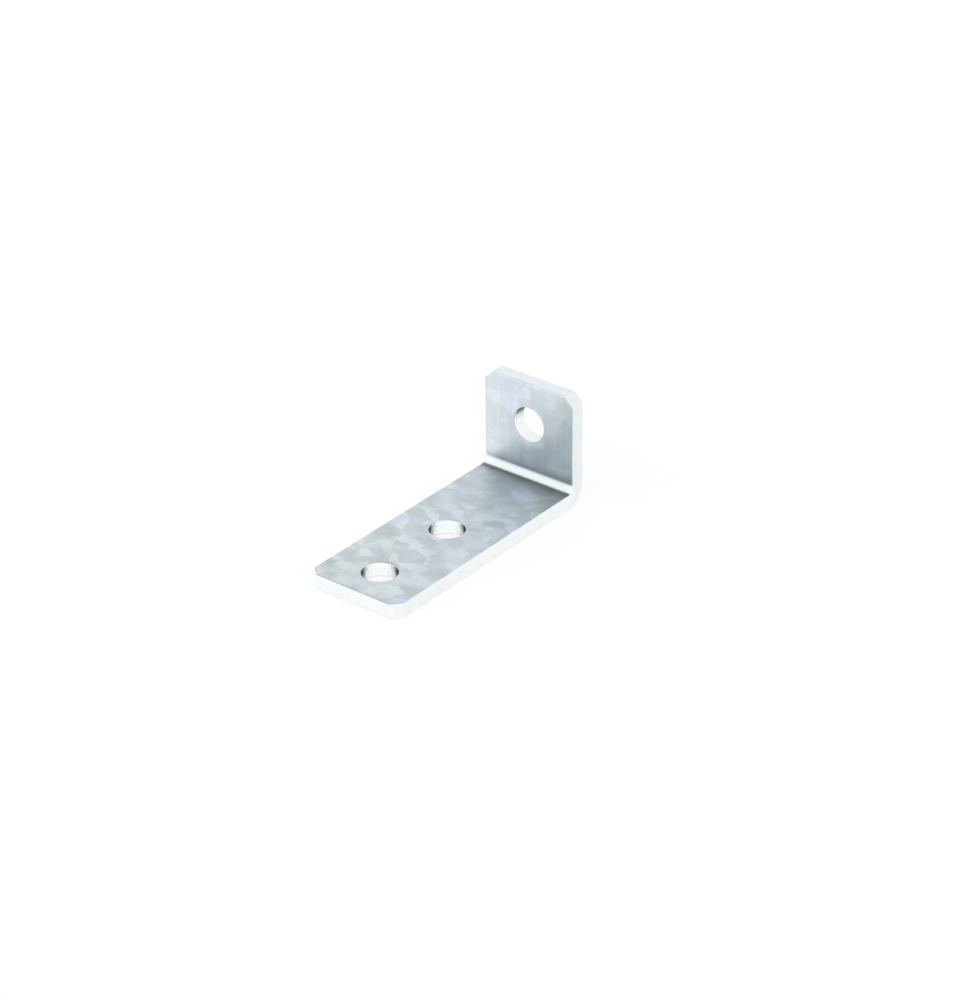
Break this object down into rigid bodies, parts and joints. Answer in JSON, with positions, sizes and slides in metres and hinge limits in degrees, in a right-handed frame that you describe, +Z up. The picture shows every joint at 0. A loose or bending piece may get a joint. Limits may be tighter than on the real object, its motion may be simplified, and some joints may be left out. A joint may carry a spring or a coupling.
{
  "type": "angle bracket",
  "caption": "Right-angle bracket folded from thick galvanised steel strip, with cut corners and round bolt holes through the long leg and the short upright leg.",
  "frame": {"origin": "under the middle of the long leg, on its underside, half way along the bracket's overall length and on the centreline of the strip", "axes": "+X along the long leg from its free end to the upright, +Y across the strip, +Z up along the upright"},
  "size_m": [0.105, 0.04, 0.044],
  "materials": {
    "galvanised_steel": "hot-dip galvanised steel: pale blue-grey zinc with soft mottled crystal patches, satin, not polished"
  },
  "bodies": {
    "root": {"angle_bracket": "galvanised_steel"}
  },
  "joints": []
}
